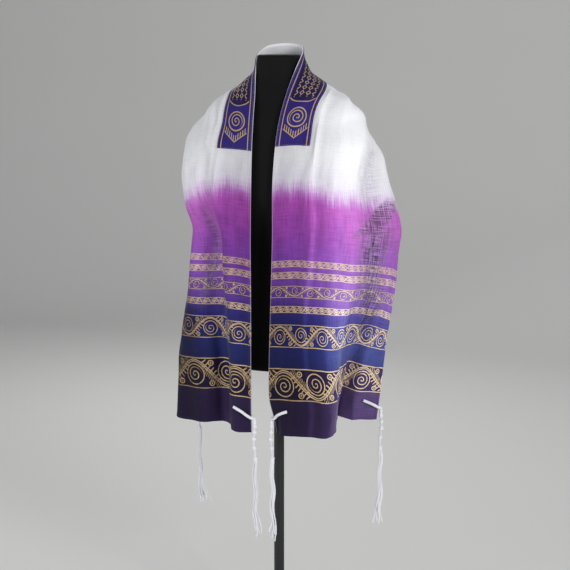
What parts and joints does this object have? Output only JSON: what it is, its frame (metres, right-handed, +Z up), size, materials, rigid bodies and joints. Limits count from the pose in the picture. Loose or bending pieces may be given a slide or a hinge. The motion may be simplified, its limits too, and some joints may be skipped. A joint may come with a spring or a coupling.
{
  "type": "tallit prayer shawl on a dress form",
  "caption": "Long narrow prayer shawl with a neckband and a knotted tassel at each corner, draped over a limbless dress form on a pole with a round base.",
  "frame": {"origin": "on the floor, at the middle of the base's flat underside, under the pole", "axes": "+Z up along the pole; the front of the form faces -Y; +X is the wearer's left, which is the viewer's right"},
  "size_m": [0.5493, 0.36, 1.446],
  "materials": {
    "shawl": "woven, dip-dyed from white to magenta and blue",
    "atarah": "woven indigo and gold",
    "tassel": "white spun cord",
    "dress_form": "black jersey over a firm form",
    "stand": "satin black"
  },
  "bodies": {
    "root": {"shawl": "shawl", "atarah": "atarah", "tzitzit_inner_right": "tassel", "tzitzit_inner_left": "tassel", "tzitzit_outer_right": "tassel", "tzitzit_outer_left": "tassel", "dress_form": "dress_form", "stand_pole": "stand", "stand_base": "stand"}
  },
  "joints": []
}
